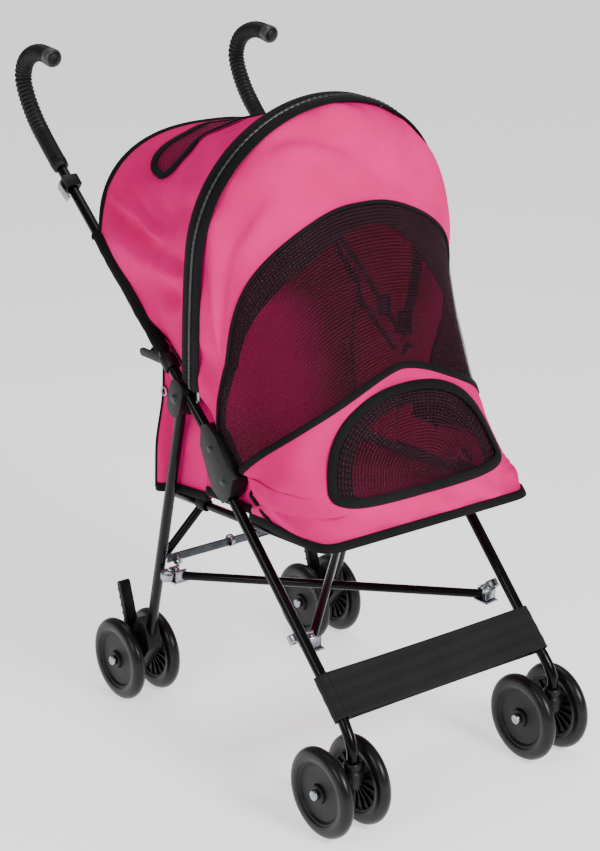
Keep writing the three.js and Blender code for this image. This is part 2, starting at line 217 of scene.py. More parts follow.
def tint_by(mat, shader, ramp, factor, colour, amount):
    """Mixes a thread colour into the mottled base where factor is high."""
    mix = node(mat, "ShaderNodeMix")
    mix.data_type = "RGBA"
    mix.inputs["B"].default_value = (*colour, 1)
    strength = product(mat, factor)
    strength.inputs[1].default_value = amount
    link(mat, strength.outputs[0], mix.inputs["Factor"])
    link(mat, ramp.outputs["Color"], mix.inputs["A"])
    link(mat, mix.outputs["Result"], shader.inputs["Base Color"])


def cloth(name, low, high, thread, pitch, sheen, roughness=0.85, shine=0.2):
    mat, shader = new_material(name, high, roughness, Sheen_Weight=sheen, Sheen_Roughness=0.4,
                               Specular_IOR_Level=shine)
    ramp = mottle(mat, shader, low, high, 9)
    weave = woven(mat, pitch, pitch)
    tint_by(mat, shader, ramp, weave, thread, 0.35)
    add_bump(mat, shader, weave, 0.35, pitch * 0.25)
    return mat


def net_cloth():
    """Fine black warp-knit net, half open, with its rows of knitting across."""
    pitch = 0.0032
    # The net's dark red base and its mottle are painted light: the glow of the pink interior showing
    # through a black net.
    mat, shader = new_material("net", (0.012, 0.003, 0.006), 0.7, Alpha=0.42,
                               Specular_IOR_Level=0.15)
    ramp = mottle(mat, shader, (0.006, 0.0015, 0.003), (0.022, 0.004, 0.010), 25)
    weave = woven(mat, 0.0045, pitch)
    # The maroon mixed into the threads is painted light too: pink interior light seen through the
    # net, not a thread colour.
    tint_by(mat, shader, ramp, weave, (0.11, 0.02, 0.05), 0.6)
    open_share = node(mat, "ShaderNodeMapRange", To_Min=0.20, To_Max=0.44)
    link(mat, stripes(mat, "Y", pitch, 0.8), open_share.inputs["Value"])
    link(mat, open_share.outputs["Result"], shader.inputs["Alpha"])
    add_bump(mat, shader, weave, 0.5, 0.0005)
    return mat


def hard(name, colour, roughness, low, high, scale, worn=None, bumps=None, **sockets):
    """A hard finish: mottled, with uneven roughness and a grain where they are given."""
    mat, shader = new_material(name, colour, roughness, **sockets)
    mottle(mat, shader, low, high, scale)
    if worn:
        uneven_roughness(mat, shader, *worn)
    if bumps:
        grain(mat, shader, *bumps)
    return mat


def brushed_steel():
    mat, shader = new_material("blued_steel", (0.035, 0.048, 0.058), 0.4, 0.7)
    mottle(mat, shader, (0.022, 0.033, 0.041), (0.055, 0.07, 0.08), 60)
    stretch = node(mat, "ShaderNodeMapping", Scale=(40, 900, 900))
    lines = node(mat, "ShaderNodeTexNoise", Scale=1.0, Detail=2.0)
    link(mat, node(mat, "ShaderNodeTexCoord").outputs["Object"], stretch.inputs["Vector"])
    link(mat, stretch.outputs["Vector"], lines.inputs["Vector"])
    add_bump(mat, shader, lines.outputs["Fac"], 0.2, 0.0002)
    return mat


def moulded_plastic():
    return hard("black_plastic", (0.002, 0.002, 0.003), 0.42, (0.0015, 0.0015, 0.002),
                (0.004, 0.004, 0.005), 30, (0.38, 0.52, 120), (1500, 0.15),
                Specular_IOR_Level=0.25)


def make_materials():
    return {
        "pink_fabric": cloth("pink_cloth", (0.68, 0.003, 0.145), (0.85, 0.006, 0.205),
                             (0.42, 0.002, 0.08), 0.0014, 0.0, shine=0.06),
        "lining": cloth("pink_lining", (0.42, 0.008, 0.09), (0.52, 0.012, 0.12),
                        (0.28, 0.005, 0.06), 0.0014, 0.0, shine=0.06),
        "black_fabric": cloth("black_binding", (0.0035, 0.0035, 0.004), (0.008, 0.008, 0.009),
                              (0.018, 0.018, 0.020), 0.0015, 0.02, 0.8, 0.1),
        "footband": cloth("footrest_cloth", (0.0045, 0.0045, 0.005), (0.009, 0.009, 0.010),
                          (0.035, 0.035, 0.037), 0.0026, 0.05, 0.7),
        "webbing": cloth("black_webbing", (0.004, 0.004, 0.005), (0.009, 0.009, 0.011),
                         (0.025, 0.025, 0.028), 0.0022, 0.04, 0.65),
        "mesh_fabric": net_cloth(),
        "tube": hard("black_paint", (0.001, 0.001, 0.0015), 0.22, (0.0008, 0.0008, 0.0012),
                     (0.002, 0.002, 0.003), 40, (0.16, 0.28, 90), (700, 0.05), IOR=1.32,
                     Specular_IOR_Level=0.3),
        "foam": hard("grip_foam", (0.002, 0.002, 0.002), 0.5, (0.0015, 0.0015, 0.0015),
                     (0.004, 0.004, 0.0045), 60, None, (900, 0.35, 0.0006),
                     Specular_IOR_Level=0.25),
        "tyre": hard("tyre_rubber", (0.003, 0.003, 0.0035), 0.3, (0.002, 0.002, 0.0025),
                     (0.005, 0.005, 0.006), 45, (0.24, 0.42, 70), (500, 0.08),
                     Specular_IOR_Level=0.28),
        "hub": moulded_plastic(),
        "plastic": moulded_plastic(),
        "zinc": hard("zinc_plate", (0.32, 0.35, 0.38), 0.3, (0.22, 0.25, 0.28),
                     (0.42, 0.45, 0.48), 160, (0.18, 0.42, 240), metallic=1.0),
        "steel": brushed_steel(),
        "cap": hard("grey_cap", (0.03, 0.031, 0.034), 0.4, (0.02, 0.021, 0.023),
                    (0.045, 0.047, 0.05), 80),
        "zip": hard("zip_chain", (0.012, 0.012, 0.014), 0.3, (0.01, 0.01, 0.012),
                    (0.035, 0.035, 0.04), 300),
    }


MATERIALS = {}


# ---- mesh helpers
def unit(vector):
    return vector / np.linalg.norm(vector)


def add_piece(name, vertices, faces, material, uvs=None):
    """A smooth-shaded piece. uvs has one pair for each face corner, in metres."""
    mesh = bpy.data.meshes.new(name)
    mesh.from_pydata([tuple(map(float, v)) for v in vertices], [], faces)
    mesh.materials.append(MATERIALS[material])
    mesh.polygons.foreach_set("use_smooth", [True] * len(mesh.polygons))
    if uvs is not None:
        layer = mesh.uv_layers.new(name="cloth")
        layer.data.foreach_set("uv", np.asarray(uvs, float).ravel())
    mesh.update()
    piece = bpy.data.objects.new(name, mesh)
    bpy.context.scene.collection.objects.link(piece)
    return piece


def crease(piece, degrees):
    """Keeps edges sharper than this angle crisp."""
    split = piece.modifiers.new("crease", "EDGE_SPLIT")
    split.split_angle = math.radians(degrees)


def grid_faces(rows, columns, wrap_rows=False, wrap_columns=True):
    faces, corners = [], []
    for i in range(rows if wrap_rows else rows - 1):
        for j in range(columns if wrap_columns else columns - 1):
            i2, j2 = (i + 1) % rows, (j + 1) % columns
            faces.append((i * columns + j, i * columns + j2, i2 * columns + j2, i2 * columns + j))
            corners.append(((i, j), (i, j + 1), (i + 1, j + 1), (i + 1, j)))
    return faces, corners


def end_caps(rows, sides):
    return [tuple(range(sides))[::-1], tuple(range((rows - 1) * sides, rows * sides))]


def lengths_along(points, axis):
    """Running length along one direction of a grid of points, averaged over the other."""
    gaps = np.linalg.norm(np.diff(points, axis=axis), axis=2).mean(axis=1 - axis)
    run = np.concatenate([[0], np.cumsum(gaps)])
    return np.append(run, run[-1] + run[-1] / max(len(run) - 1, 1))


def sheet_piece(name, points, material, thickness=0.0012, wrap=False):
    """One layer of cloth over a grid of points, rows by columns."""
    points = np.asarray(points, float)
    rows, columns = points.shape[:2]
    faces, corners = grid_faces(rows, columns, wrap_columns=wrap)
    across, along = lengths_along(points, 1), lengths_along(points, 0)
    uvs = [(across[j], along[i]) for face in corners for i, j in face]
    piece = add_piece(name, points.reshape(-1, 3), faces, material, uvs)
    solid = piece.modifiers.new("cloth", "SOLIDIFY")
    solid.thickness = thickness
    solid.offset = 0
    width = float(np.linalg.norm(np.diff(points, axis=1), axis=2).sum(1).max())
    length = float(np.linalg.norm(np.diff(points, axis=0), axis=2).sum(0).max())
    area = sum(face.area for face in piece.data.polygons)
    length = min(length, area / width * 3)
    piece["cut"] = [width, length, min(area, width * length)]
    return piece


def frames_along(points, closed=False):
    """Tangents of a line of points."""
    if closed:
        tangents = np.roll(points, -1, 0) - np.roll(points, 1, 0)
    else:
        tangents = np.gradient(points, axis=0)
    return tangents / np.maximum(np.linalg.norm(tangents, axis=1), 1e-12)[:, None]


def carried_normals(tangents):
    """Normals carried along a line without twisting."""
    guide = np.array([1.0, 0, 0]) if abs(tangents[0][0]) < 0.9 else np.array([0, 0, 1.0])
    normal = np.cross(tangents[0], guide)
    normals = []
    for tangent in tangents:
        normal = normal - tangent * (normal @ tangent)
        normal = unit(normal)
        normals.append(normal)
    return np.array(normals)


def skin(name, grid, spread, material, closed=False):
    """A surface over rings of points, closed at its ends or all round. spread is each ring's u."""
    rings, sides = grid.shape[:2]
    faces, corners = grid_faces(rings, sides, wrap_rows=closed)
    along = lengths_along(grid, 0)
    uvs = [(spread[j], along[i]) for face in corners for i, j in face]
    if not closed:
        faces += end_caps(rings, sides)
        uvs += [(0, 0)] * (2 * sides)
    return add_piece(name, grid.reshape(-1, 3), faces, material, uvs)


def pipe(name, points, radius, material="black_fabric", sides=16):
    """A round-ended bar or piping along a line. radius is one number or one for each point."""
    points = np.asarray(points, float)
    radii = np.broadcast_to(np.asarray(radius, float), (len(points),)).copy()
    tangents = frames_along(points)
    bends = [math.radians(a) for a in (30, 60, 85)]
    start = [points[0] - tangents[0] * radii[0] * 0.6 * math.sin(a) for a in reversed(bends)]
    stop = [points[-1] + tangents[-1] * radii[-1] * 0.6 * math.sin(a) for a in bends]
    radii = np.concatenate([[radii[0] * math.cos(a) for a in reversed(bends)], radii,
                            [radii[-1] * math.cos(a) for a in bends]])
    points = np.concatenate([start, points, stop])
    tangents = np.concatenate([[tangents[0]] * 3, tangents, [tangents[-1]] * 3])
    normals = carried_normals(tangents)
    binormals = np.cross(tangents, normals)
    turns = np.linspace(0, 2 * math.pi, sides, endpoint=False)
    ring = (np.cos(turns)[None, :, None] * normals[:, None]
            + np.sin(turns)[None, :, None] * binormals[:, None])
    grid = points[:, None] + ring * radii[:, None, None]
    around = 2 * math.pi * float(radii.max()) / sides
    return skin(name, grid, np.arange(sides + 1) * around, material)


def strap(name, points, normals, width, thickness, material="black_fabric", closed=False):
    """Flat tape along a line, its face turned to the normals, with rounded edges."""
    points, normals = np.asarray(points, float), np.asarray(normals, float)
    tangents = frames_along(points, closed)
    side = np.cross(tangents, normals)
    side /= np.linalg.norm(side, axis=1)[:, None]
    face = np.cross(side, tangents)
    half, thin = width / 2, thickness / 2
    section = [(-half, -thin * .4), (-half * .93, -thin), (half * .93, -thin), (half, -thin * .4),
               (half, thin * .4), (half * .93, thin), (0, thin * 1.15), (-half * .93, thin),
               (-half, thin * .4)]
    grid = np.stack([points + side * a + face * b for a, b in section], axis=1)
    sides = [math.dist(a, b) for a, b in zip(section, section[1:] + section[:1])]
    return skin(name, grid, np.concatenate([[0], np.cumsum(sides)]), material, closed)


def turned(name, profile, centre, axis, material, segments=48, closed=True):
    """A turned piece: profile is (radius, height along the axis)."""
    axis = Vector(axis).normalized()
    basis = axis.to_track_quat("Z", "Y").to_matrix()
    vertices = [Vector(centre) + basis @ Vector((r * math.cos(t), r * math.sin(t), h))
                for r, h in profile
                for t in np.linspace(0, 2 * math.pi, segments, endpoint=False)]
    faces = grid_faces(len(profile), segments, wrap_rows=closed)[0]
    if not closed:
        faces += end_caps(len(profile), segments)
    return add_piece(name, vertices, faces, material)


def smooth_line(points, per_span):
    """A smooth curve through given points."""
    points = np.asarray(points, float)
    last = len(points) - 1
    out = []
    for i in range(last):
        p = [points[max(i - 1, 0)], points[i], points[i + 1], points[min(i + 2, last)]]
        for t in np.linspace(0, 1, per_span, endpoint=False):
            out.append(0.5 * (2 * p[1] + (p[2] - p[0]) * t
                              + (2 * p[0] - 5 * p[1] + 4 * p[2] - p[3]) * t * t
                              + (3 * p[1] - p[0] - 3 * p[2] + p[3]) * t ** 3))
    return np.array(out + [points[-1]])


def ease(t):
    t = min(max(t, 0.0), 1.0)
    return t * t * (3 - 2 * t)


def ripple(point, size, depth, seed):
    """A soft, seeded unevenness for slack cloth."""
    return depth * noise.noise(Vector(point) / size + Vector((seed, seed * 2, seed * 3)))


def folds(t, v, lines):
    """Soft folds of slack cloth, each drawn from one place to another on a panel."""
    depth = 0.0
    for (t0, v0), (t1, v1), width, height in lines:
        a, b = np.array([2.3 * t0, v0]), np.array([2.3 * t1, v1])
        p, along = np.array([2.3 * t, v]), b - a
        share = min(max((p - a) @ along / (along @ along), 0), 1)
        gap = np.linalg.norm(p - a - along * share) / (width * (0.45 + 0.6 * share))
        depth += height * (math.exp(-gap * gap) - 0.45 * math.exp(-(gap - 1.7) ** 2))
    return depth


HOOD_FOLDS = [  # from the low front corner up and back, as (place round the arch, share to the rear)
    ((-0.62, 0.12), (-0.90, 0.92), 0.13, 0.0110), ((-0.60, 0.45), (-0.74, 0.97), 0.10, 0.0085),
    ((-0.72, 0.18), (-0.94, 0.60), 0.10, -0.0085), ((-0.40, 0.12), (-0.52, 0.42), 0.12, -0.0070),
    ((-0.12, 0.15), (-0.22, 0.40), 0.12, 0.0045), ((0.10, 0.12), (0.02, 0.38), 0.12, -0.0045),
    ((0.58, 0.12), (0.88, 0.90), 0.13, 0.0110), ((0.42, 0.14), (0.62, 0.50), 0.11, -0.0070),
    ((0.75, 0.20), (0.93, 0.62), 0.10, -0.0085),
]
CANOPY_FOLDS = [
    ((-0.15, 0.78), (0.24, 0.16), 0.20, -0.0112), ((-0.03, 0.92), (0.10, 0.40), 0.12, 0.0075),
    ((-0.34, 0.85), (-0.30, 0.45), 0.12, -0.0067), ((-0.55, 0.20), (-0.38, 0.70), 0.14, 0.0067),
    ((0.20, 0.85), (0.42, 0.30), 0.15, 0.0075), ((-0.72, 0.80), (-0.66, 0.20), 0.12, -0.0060),
    ((0.62, 0.80), (0.68, 0.25), 0.13, -0.0067),
]


# ---- the cabin's surfaces
def arch_plane(z):
    return ARCH_Y - ARCH_LEAN * max(z - ARCH_BEND_Z, 0)


def arch_half(z):
    """Half width of the cabin at the zip arch."""
    if z > SHOULDER_Z:
        rise = min((z - SHOULDER_Z) / (ARCH_TOP - SHOULDER_Z), 1)
        return SHOULDER_X * math.sqrt(1 - rise ** 2.1)
    return HEM_X + (SHOULDER_X - HEM_X) * ease((z - HEM_Z) / (SHOULDER_Z - HEM_Z))


def front_middle(z):
    """The front edge in the middle plane, from the hem up to the arch's top."""
    rise = z - HEM_Z
    return FRONT_Y + 0.26 * rise + 0.28 * rise * rise


def leg_x(z):
    """How far out the side frame's tubes are at a height."""
    return SIDE_X + (z - 0.21) * SIDE_LEAN


def tube_z(y):
    return TUBE_FOOT[1] + TUBE_SLOPE * (y - TUBE_FOOT[0])


def tuck(point):
    """Keeps the cloth inside the side tubes where it passes between them."""
    x, y, z = point
    free = max(ease((z - tube_z(y) - 0.011) / 0.05), ease((TUBE_FOOT[0] - 0.02 - y) / 0.03),
               ease((y - COLLAR_Y) / 0.03))
    limit = TUCKED_X + (0.21 - TUCKED_X) * free
    return np.array([max(min(x, limit), -limit), y, z])


def front_point(angle, z):
    """A point of the front cloth: angle in degrees round from straight ahead, and height."""
    half = max(arch_half(z), 1e-4)
    depth = max(arch_plane(z) - front_middle(z), 1e-4)
    square = 2.05 + 6.5 * math.exp(-(z - HEM_Z) / 0.085) + 12 * math.exp(-(z - HEM_Z) / 0.02)
    s, c = math.sin(math.radians(angle)), max(math.cos(math.radians(angle)), 0)
    reach = ((abs(s) / half) ** square + (c / depth) ** square) ** (-1 / square)
    return tuck((reach * s, arch_plane(z) - reach * c, z))


def front_normal(angle, z):
    across = front_point(angle + 0.5, z) - front_point(angle - 0.5, z)
    up = front_point(angle, min(z + 0.001, ARCH_TOP - 1e-4)) - front_point(angle, z - 0.001)
    normal = np.cross(across, up)
    return normal / max(np.linalg.norm(normal), 1e-12)


def proud(angle, z, lift):
    """A point that far outside the front cloth."""
    return front_point(angle, z) + front_normal(angle, z) * lift


SILL_Z = 0.443  # foot of the big window
SILL_ANGLE = 62
SILL_TOP = 0.597
BROW_TOP = 0.803
BROW_BEND = 0.600
BROW_ANGLE = 68
FACING_TOP = 0.776
FACING_ANGLE = 63
FACING_ANGLE_LEFT = 38


def sill(t):
    """The big window's lower edge, from t -1 at the right to 1 at the left."""
    return SILL_ANGLE * t, SILL_Z + (SILL_TOP - SILL_Z) * (1 - abs(t) ** 1.6)


def brow(t):
    """The big window's upper edge: upright at the sides and round over the top."""
    return brow_line(t, BROW_ANGLE, 7, BROW_TOP, 3.0)


def brow_line(t, angle, spread, top, squareness):
    side = -1 if t < 0 else 1
    reach = abs(t)
    if reach > 0.55:
        share = (reach - 0.55) / 0.45
        z = BROW_BEND + (SILL_Z - BROW_BEND) * share
        return side * (angle + spread * share ** 0.8), z
    share = reach / 0.55
    near, far = share ** 1.5, (1 - share) ** 1.5
    turn = near / (near + far) * math.pi / 2
    power = 2 / squareness
    return (side * angle * math.sin(turn) ** power,
            BROW_BEND + (top - BROW_BEND) * max(math.cos(turn), 0) ** power)


def part_way(a, b, v):
    return a[0] + (b[0] - a[0]) * v, a[1] + (b[1] - a[1]) * v


def window_grid(rows=40, columns=97):
    """The net between the sill and the brow."""
    def place(v, t):
        angle, z = part_way(sill(t), brow(t), v)
        point = front_point(angle, z)
        slack = math.sin(math.pi * v)
        swell = 0.001 * slack + ripple(point, 0.06, 0.0016 * slack, 2.0)
        return tuck(point + front_normal(angle, z) * swell)

    return [[place(v, t) for t in steps(columns)] for v in steps(rows, 0, 1)]


def arch_at(t, foot=HOOD_FOOT):
    side = -1 if t < 0 else 1
    reach = abs(t)
    if reach > 0.5:
        z = SHOULDER_Z + (foot - SHOULDER_Z) * (reach - 0.5) / 0.5
    else:
        z = SHOULDER_Z + (ARCH_TOP - SHOULDER_Z) * math.cos(reach * math.pi)
    x = side * arch_half(z) if reach > 1e-6 else 0.0
    return tuck((x, arch_plane(z), z))


def arch_frame(t, foot=HOOD_FOOT):
    """Direction back along the cabin and the outward normal at the arch."""
    along = arch_at(min(t + 0.01, 1), foot) - arch_at(max(t - 0.01, -1), foot)
    along = unit(along)
    lean = 0 if arch_at(t, foot)[2] < ARCH_BEND_Z else ARCH_LEAN
    back = np.array([0, 1, lean]) / math.hypot(1, lean)
    outward = np.cross(along, back)
    outward = unit(outward)
    if outward @ (arch_at(t, foot) - np.array([0, ARCH_Y, 0.6])) < 0:
        outward = -outward
    return back, outward


def steps(count, low=-1.0, high=1.0):
    return [low + (high - low) * i / (count - 1) for i in range(count)]


def hermite(a, b, leave, arrive, v):
    return (a * (2 * v ** 3 - 3 * v * v + 1) + leave * (v ** 3 - 2 * v * v + v)
            + b * (3 * v * v - 2 * v ** 3) + arrive * (v ** 3 - v * v))


def canopy_top_grid(rows=36, columns=161):
    """The cloth between the big window and the zip, rounded over both edges."""
    grid = np.zeros((rows, columns, 3))
    for j, t in enumerate(steps(columns)):
        angle, z = brow(t)
        a, normal_a = front_point(angle, z), front_normal(angle, z)
        b, (_, normal_b) = arch_at(t, SILL_Z), arch_frame(t, SILL_Z)
        chord = b - a
        span = np.linalg.norm(chord)
        leave = chord - normal_a * (chord @ normal_a)
        arrive = chord - normal_b * (chord @ normal_b)
        leave *= span / max(np.linalg.norm(leave), 1e-9)
        arrive *= span / max(np.linalg.norm(arrive), 1e-9)
        for i in range(rows):
            v = i / (rows - 1)
            point = hermite(a, b, leave, arrive, v)
            slack = math.sin(math.pi * v)
            rise = ripple(point, 0.07, 0.006 * slack, 1.0) + folds(t, v, CANOPY_FOLDS) * slack
            point = point + normal_b * rise
            grid[i, j] = tuck(point)
    return grid


def d_edge_inside(angle, z):
    """Whether a point of the lower panel is inside its small D window."""
    height = 0.107 if z > 0.462 else 0.026
    power = 2.4 if z > 0.462 else 3.5
    return (abs(angle) / 29) ** power + (abs(z - 0.462) / height) ** power < 1


def hem_z(y):
    return HEM_Z if y < -0.153 else HEM_Z - 0.115 * (y + 0.153)


def front_hem_z(angle):
    return HEM_Z if abs(angle) < 60 else HEM_Z - 0.004 * (abs(angle) - 60) / 30


def panel_inside(angle, z):
    if abs(angle) > 90:
        return False
    top = SILL_Z + 0.004
    if abs(angle) < SILL_ANGLE:
        top = sill(angle / SILL_ANGLE)[1]
    return front_hem_z(angle) < z < top


def edge_along(turn, inside):
    """Where a ray from inside the D window crosses an outline."""
    da, dz = 90 * math.cos(turn), 0.15 * math.sin(turn)
    near, far = 0.0, 1.6
    for _ in range(26):
        middle = (near + far) / 2
        if inside(middle * da, 0.446 + middle * dz):
            near = middle
        else:
            far = middle
    return near * da, 0.446 + near * dz


def panel_turns(count):
    return [2 * math.pi * i / count for i in range(count)]


def outline(count, inside):
    return [edge_along(t, inside) for t in panel_turns(count)]


def d_outline(count):
    return outline(count, d_edge_inside)


def lower_panel_grid(rows=16, columns=280):
    edges = list(zip(d_outline(columns), outline(columns, panel_inside)))

    def place(v, edge):
        angle, z = part_way(*edge, v)
        point = front_point(angle, z)
        slack = math.sin(math.pi * v)
        fold = 0.0036 * math.sin(angle * 0.42 + z * 60) * ease((0.47 - z) / 0.05)
        swell = ripple(point, 0.05, 0.006 * slack, 4.0) + fold * slack
        return tuck(point + front_normal(angle, z) * swell)

    return [[place(v, edge) for edge in edges] for v in steps(rows, 0, 1)]


def d_window_grid(rows=10, columns=120):
    return [[proud(a * v * 1.02, 0.446 + (z - 0.446) * v * 1.01, -0.0012)
             for a, z in d_outline(columns)] for v in steps(rows, 0, 1)]


def hood_foot_z(y):
    """The hood's lower edge lies along the handle tube, a little proud of it at the zip."""
    return tube_z(y) + 0.018 - 0.010 * ease((y - ARCH_Y) / 0.09)


def hood_foot_x(y):
    return 0.170 + (leg_x(hood_foot_z(y)) + 0.002 - 0.170) * ease((y - COLLAR_Y) / 0.035)


def rear_arch(t):
    turn = (1 - abs(t)) * math.pi / 2
    side = -1 if t < 0 else 1
    x = side * REAR_X * max(math.cos(turn), 0) ** 0.8
    return np.array([x, REAR_Y, REAR_FOOT_Z + (REAR_TOP - REAR_FOOT_Z) * math.sin(turn) ** 0.8])


def hood_point(t, v):
    front, rear = arch_at(t), rear_arch(t)
    point = front + (rear - front) * v
    hang = ease((abs(t) - 0.82) / 0.18)  # the side edge is drawn down onto the tube
    y = point[1]
    edge = np.array([math.copysign(hood_foot_x(y), t), y, hood_foot_z(y)])
    point = point + (edge - point) * hang
    _, outward = arch_frame(t)
    slack = math.sin(math.pi * v)
    sag = -0.010 * slack * (1 - abs(t)) + 0.004 * slack * abs(t)
    rise = sag + folds(t, v, HOOD_FOLDS) * min(2.2 * slack, 1)
    rise += ripple(point, 0.06, 0.008 * slack, 7.0) + ripple(point, 0.025, 0.002 * slack, 8.0)
    return point + outward * rise * ease(5 * (1.0 - abs(t)))


def hood_grid(rows=48, columns=161):
    return [[hood_point(t, v) for t in steps(columns)] for v in steps(rows, 0, 1)]


REAR_WALL_Y = 0.083  # at the hem; it leans forward to clear the crossed rear braces
REAR_WALL_LEAN = 0.062
REAR_TURN = (0.068, 0.603)  # where the rear wall meets the tubes, as y, z


def rear_wall_y(z):
    return REAR_WALL_Y - REAR_WALL_LEAN * (z - 0.364)


def rear_corner_x(z):
    low = hem_z(REAR_WALL_Y)
    top = hood_foot_x(REAR_TURN[0])
    x = 0.183 - 0.012 * ease((z - 0.42) / 0.1)
    return x + (top - x) * ease(((z - low) / (REAR_TURN[1] - low) - 0.8) / 0.2)


def side_wall_grid(side, rows=24, columns=36):
    def place(v, share):
        front = ARCH_Y - 0.014 * (1 - ease((v - 0.7) / 0.3))  # tucked behind the canopy's edge
        y = front + (rear_wall_y(0.36 + 0.24 * v) - front) * share
        low, high = hem_z(y), hood_foot_z(y)
        z = low + (high - low) * v
        slack = math.sin(math.pi * v)
        x = TUCKED_X + 0.002 * slack * math.sin(40 * y + 30 * z)
        x = min(x + ripple((side, y, z), 0.05, 0.005 * slack, 11.0) - 0.001, 0.1705)
        x = min(x, 0.1655 + 0.005 * ease((y - ARCH_Y) / 0.012))
        x += (hood_foot_x(y) - x) * ease((v - 0.8) / 0.2)
        x += (rear_corner_x(z) - x) * ease((y - rear_wall_y(z) + 0.027) / 0.02)
        return side * x, y, z

    return [[place(v, share) for share in steps(columns, 0, 1)] for v in steps(rows, 0, 1)]


def rear_edge_y(z):
    if z < REAR_TURN[1]:
        return rear_wall_y(z)
    share = (z - REAR_TURN[1]) / (REAR_FOOT_Z - REAR_TURN[1])
    return min(REAR_TURN[0] + (REAR_Y - REAR_TURN[0]) * share, REAR_Y)


def rear_half(z):
    if z > REAR_FOOT_Z:
        rise = (z - REAR_FOOT_Z) / (REAR_TOP - REAR_FOOT_Z)
        return REAR_X * max(1 - rise ** 2.5, 0) ** 0.4
    if z > REAR_TURN[1]:
        return hood_foot_x(rear_edge_y(z))
    return rear_corner_x(z)


def rear_grid(z_low, z_high, rows, columns=33):
    def place(z, u):
        slack = (1 - u * u) * math.sin(math.pi * (z - z_low) / (z_high - z_low))
        swell = ripple((u, 0, z), 0.3, 0.006 * slack, 13.0) + 0.006 * slack
        return u * rear_half(z), rear_edge_y(z) + swell, z

    return [[place(z, u) for u in steps(columns)] for z in steps(rows, z_low, z_high)]


# ---- the cabin
def cabin_piece(piece, body="main_frame"):
    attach(piece, body)
    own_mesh(piece)
    return piece


def cabin_sheet(name, grid, material, held, rests_on, body="main_frame", swap=None, **shape):
    """A layer of the cabin's cloth, in place of a CAD node where swap names one."""
    piece = sheet_piece(name, grid, material, **shape)
    if swap:
        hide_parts(swap)
    cabin_piece(piece, body)


def line_on_front(route, lift):
    points = [proud(a, z, lift) for a, z in route]
    return points, [front_normal(a, z) for a, z in route]


def front_tape(name, route, lift, width, thickness, closed=False):
    points, normals = line_on_front(route, lift)
    cabin_piece(strap(name, points, normals, width, thickness, closed=closed), "front_canopy")


def add_front_canopy():
    held = "stretched", BOTH_TUBES, "front_canopy"
    cabin_sheet("canopy_top", canopy_top_grid(), "pink_fabric", *held, swap="front_canopy")
    cabin_sheet("canopy_window", window_grid(), "mesh_fabric", *held, thickness=NET)
    cabin_sheet("front_panel", lower_panel_grid(), "pink_fabric", "hung", *held[1:], wrap=True)
    cabin_sheet("front_panel_window", d_window_grid(), "mesh_fabric", *held, thickness=NET,
                wrap=True)
    points, _ = line_on_front([brow(t) for t in steps(140)], 0.0012)
    cabin_piece(pipe("window_brow_piping", points, 0.0024, sides=10), "front_canopy")
    front_tape("window_sill_binding", [sill(t) for t in steps(120)], 0.001, 0.010, 0.0036)
    front_tape("front_window_binding", d_outline(160), 0.0012, 0.0135, 0.0034, closed=True)
    hem = [(a, front_hem_z(a)) for a in steps(150, -90, 90)]
    front_tape("front_hem_binding", hem, 0.001, 0.013, 0.0044)
    for name, side in SIDES:
        route = [(side * (62 - 17 * t), SILL_Z - (SILL_Z - HEM_Z) * t ** 1.1)
                 for t in steps(20, 0, 1)]
        front_tape(f"panel_piping_{name}", route, 0.0014, 0.0055, 0.003)


def add_window_facings():
    """Dark facings behind the nets, and the near side's upright one."""
    def inner_edge(t):
        if t < 0:
            return brow_line(t, FACING_ANGLE, 9, FACING_TOP, 2.1)
        return brow_line(t, FACING_ANGLE_LEFT, -12, FACING_TOP, 3.0)

    facing = [[proud(*part_way(brow(t), inner_edge(t), v), -0.0016) for t in steps(90)]
              for v in steps(5, 0, 1)]
    cabin_sheet("window_facing", facing, "black_fabric", "stretched", ["canopy_top"],
                "front_canopy", thickness=0.001)
    rim = [[proud(a * v, 0.452 + (z - 0.452) * v, -0.004) for a, z in d_outline(120)]
           for v in steps(4, 0.80, 1.0)]
    cabin_sheet("front_window_facing", rim, "black_fabric", "stretched", ["front_panel"],
                "front_canopy", thickness=0.001, wrap=True)


def zip_line(count, lift, offset=0.0):
    """Points along the zip and the cloth's normals there."""
    points, normals = [], []
    for t in steps(count):
        back, outward = arch_frame(t)
        points.append(arch_at(t) + back * offset + outward * lift)
        normals.append(outward)
    return points, normals


def add_zip():
    for name, body, offset in (("zip_tape_canopy", "front_canopy", -0.0104),
                               ("zip_tape_hood", "main_frame", 0.0104)):
        cabin_piece(strap(name, *zip_line(150, 0.0028, offset), 0.0196, 0.0024), body)
    points, _ = zip_line(420, 0.0046)
    teeth = 0.0019 + 0.00055 * np.sin(np.arange(420) * math.pi / 1.5)
    cabin_piece(pipe("zip_chain", points, teeth, "zip", 8), "front_canopy")
    _, outward = arch_frame(-0.985)
    seat = arch_at(-0.985) + outward * 0.007
    slider = [seat + (0, 0, h) for h in steps(6, -0.008, 0.008)]
    pull = [seat + outward * 0.004 + (0, 0.001, -0.004 - h) for h in steps(8, 0, 0.026)]
    for name, points, width, thickness in (("zip_slider", slider, 0.009, 0.005),
                                           ("zip_pull", pull, 0.0055, 0.0016)):
        cabin_piece(strap(name, points, [outward] * len(points), width, thickness, "zinc"),
                    "front_canopy")


